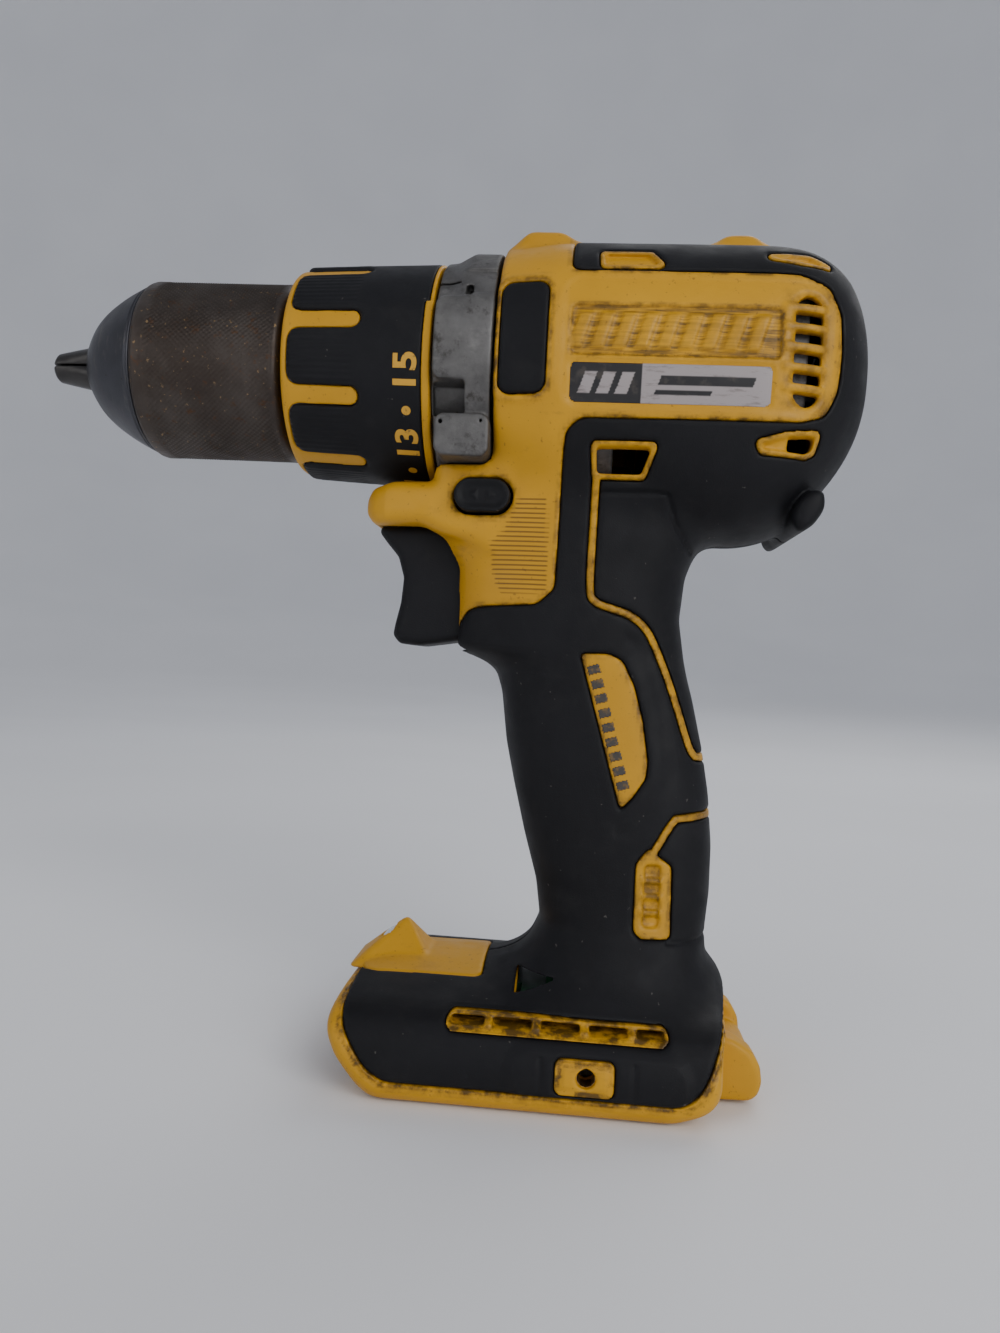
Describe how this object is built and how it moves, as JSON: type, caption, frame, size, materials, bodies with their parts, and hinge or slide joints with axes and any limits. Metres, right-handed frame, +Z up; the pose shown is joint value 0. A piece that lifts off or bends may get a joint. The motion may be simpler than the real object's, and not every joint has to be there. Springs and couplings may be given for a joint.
{
  "type": "cordless drill",
  "caption": "Pistol-grip cordless drill, bare tool, with a keyless chuck, clutch collar, two-speed gearbox, brushless motor, trigger and battery rails in its foot.",
  "frame": {"origin": "middle of the bounding box's base, on the surface the foot stands on", "axes": "+Z up, parallel to the handle; -X along the spindle, towards the bit; +Y to the tool's right-hand side"},
  "size_m": [0.2008, 0.0712, 0.199],
  "materials": {
    "yellow_plastic": "moulded glass-filled nylon, fine texture, worn",
    "overmould": "soft matte moulded rubber",
    "knurled_steel": "diamond knurled, dull",
    "dark_steel": "oiled, smooth",
    "bare_steel": "machined and oiled",
    "cast_metal": "die cast, scuffed",
    "brass": "machined",
    "copper": "varnished copper windings on steel laminations",
    "black_plastic": "moulded, satin",
    "circuit_board": "coated circuit board",
    "lens": "clear moulded lens",
    "red_wire": "wire insulation",
    "black_wire": "wire insulation"
  },
  "bodies": {
    "housing": {"shell_left": "yellow_plastic", "shell_right": "yellow_plastic", "grip_left": "overmould", "grip_right": "overmould", "front_pad_left": "overmould", "front_pad_right": "overmould", "hook_insert_left": "brass", "hook_insert_right": "brass", "screw_top_front": "dark_steel", "screw_top_rear": "dark_steel", "screw_nose": "dark_steel", "screw_rear": "dark_steel", "screw_handle_top": "dark_steel", "screw_handle_low": "dark_steel", "screw_foot": "dark_steel", "gear_case": "cast_metal", "spindle_bearing": "bare_steel", "ring_gear_input": "bare_steel", "clutch_spring": "bare_steel", "clutch_plate": "bare_steel", "motor_plate": "cast_metal", "stator": "copper", "motor_bearing_front": "bare_steel", "motor_bearing_rear": "bare_steel", "sensor_board": "circuit_board", "switch_module": "black_plastic", "control_module": "circuit_board", "terminal_block": "black_plastic", "led_hood": "yellow_plastic", "led_lens": "lens", "supply_lead_positive": "red_wire", "supply_lead_negative": "black_wire", "phase_lead_1": "black_wire", "phase_lead_2": "black_wire", "phase_lead_3": "black_wire"},
    "spindle": {"spindle": "bare_steel", "chuck_body": "bare_steel", "chuck_screw": "dark_steel", "chuck_nose": "dark_steel"},
    "sleeve": {"chuck_sleeve": "knurled_steel", "jaw_nut": "bare_steel"},
    "jaw_1": {"jaw_1": "dark_steel"},
    "jaw_2": {"jaw_2": "dark_steel"},
    "jaw_3": {"jaw_3": "dark_steel"},
    "sun_carrier": {"sun_carrier": "bare_steel"},
    "planet_output_1": {"planet_output_1": "bare_steel"},
    "planet_output_2": {"planet_output_2": "bare_steel"},
    "planet_output_3": {"planet_output_3": "bare_steel"},
    "planet_input_1": {"planet_input_1": "bare_steel"},
    "planet_input_2": {"planet_input_2": "bare_steel"},
    "planet_input_3": {"planet_input_3": "bare_steel"},
    "rotor": {"rotor": "dark_steel", "fan": "black_plastic"},
    "collar": {"clutch_collar": "yellow_plastic", "collar_grip": "overmould"},
    "trigger": {"trigger": "overmould"},
    "direction_button": {"direction_button": "overmould"},
    "shifter": {"speed_selector": "yellow_plastic", "shift_bracket": "bare_steel", "ring_gear_output": "bare_steel"}
  },
  "joints": [
    {"name": "chuck_spin", "type": "hinge", "parent": "housing", "child": "spindle", "pos_m": [-0.0466, 0, 0.1652], "axis": [-1, 0, 0], "continuous": true},
    {"name": "sleeve_turn", "type": "hinge", "parent": "spindle", "child": "sleeve", "pos_m": [-0.0546, 0, 0.1652], "axis": [-1, 0, 0], "range_deg": [0, 5400]},
    {"name": "jaw_1_slide", "type": "slide", "parent": "spindle", "child": "jaw_1", "axis": [0.9659, 0.2588, 0], "range_m": [0, 0.02401]},
    {"name": "jaw_2_slide", "type": "slide", "parent": "spindle", "child": "jaw_2", "axis": [0.9659, -0.1294, 0.2241], "range_m": [0, 0.02401]},
    {"name": "jaw_3_slide", "type": "slide", "parent": "spindle", "child": "jaw_3", "axis": [0.9659, -0.1294, -0.2241], "range_m": [0, 0.02401]},
    {"name": "sun_carrier_spin", "type": "hinge", "parent": "housing", "child": "sun_carrier", "pos_m": [0.0164, 0, 0.1652], "axis": [-1, 0, 0], "continuous": true},
    {"name": "rotor_spin", "type": "hinge", "parent": "housing", "child": "rotor", "pos_m": [0.0594, 0, 0.1652], "axis": [-1, 0, 0], "continuous": true},
    {"name": "planet_output_1_spin", "type": "hinge", "parent": "spindle", "child": "planet_output_1", "pos_m": [0.0089, 0.01215, 0.1652], "axis": [-1, 0, 0], "continuous": true},
    {"name": "planet_output_2_spin", "type": "hinge", "parent": "spindle", "child": "planet_output_2", "pos_m": [0.0089, -0.00607, 0.17572], "axis": [-1, 0, 0], "continuous": true},
    {"name": "planet_output_3_spin", "type": "hinge", "parent": "spindle", "child": "planet_output_3", "pos_m": [0.0089, -0.00608, 0.15468], "axis": [-1, 0, 0], "continuous": true},
    {"name": "planet_input_1_spin", "type": "hinge", "parent": "sun_carrier", "child": "planet_input_1", "pos_m": [0.022, 0.01215, 0.1652], "axis": [-1, 0, 0], "continuous": true},
    {"name": "planet_input_2_spin", "type": "hinge", "parent": "sun_carrier", "child": "planet_input_2", "pos_m": [0.022, -0.00607, 0.17572], "axis": [-1, 0, 0], "continuous": true},
    {"name": "planet_input_3_spin", "type": "hinge", "parent": "sun_carrier", "child": "planet_input_3", "pos_m": [0.022, -0.00608, 0.15468], "axis": [-1, 0, 0], "continuous": true},
    {"name": "clutch_select", "type": "hinge", "parent": "housing", "child": "collar", "pos_m": [-0.0166, 0, 0.1652], "axis": [-1, 0, 0], "range_deg": [-277.5, 0]},
    {"name": "trigger_pull", "type": "slide", "parent": "housing", "child": "trigger", "axis": [1, 0, 0], "range_m": [0, 0.007], "stiffness_N_per_m": 900, "springref_m": -0.004},
    {"name": "direction_shift", "type": "slide", "parent": "housing", "child": "direction_button", "axis": [0, 1, 0], "range_m": [-0.003, 0.003]},
    {"name": "speed_shift", "type": "slide", "parent": "housing", "child": "shifter", "axis": [1, 0, 0], "range_m": [0, 0.004]}
  ],
  "couplings": [
    {"joint": "jaw_1_slide", "follows": "sleeve_turn", "m_per_rad": 0.00025465},
    {"joint": "jaw_2_slide", "follows": "sleeve_turn", "m_per_rad": 0.00025465},
    {"joint": "jaw_3_slide", "follows": "sleeve_turn", "m_per_rad": 0.00025465},
    {"joint": "sun_carrier_spin", "follows": "chuck_spin", "ratio": 4.5},
    {"joint": "rotor_spin", "follows": "chuck_spin", "ratio": 20.25},
    {"joint": "planet_output_1_spin", "follows": "chuck_spin", "ratio": -2.8},
    {"joint": "planet_output_2_spin", "follows": "chuck_spin", "ratio": -2.8},
    {"joint": "planet_output_3_spin", "follows": "chuck_spin", "ratio": -2.8},
    {"joint": "planet_input_1_spin", "follows": "chuck_spin", "ratio": -12.6},
    {"joint": "planet_input_2_spin", "follows": "chuck_spin", "ratio": -12.6},
    {"joint": "planet_input_3_spin", "follows": "chuck_spin", "ratio": -12.6}
  ]
}
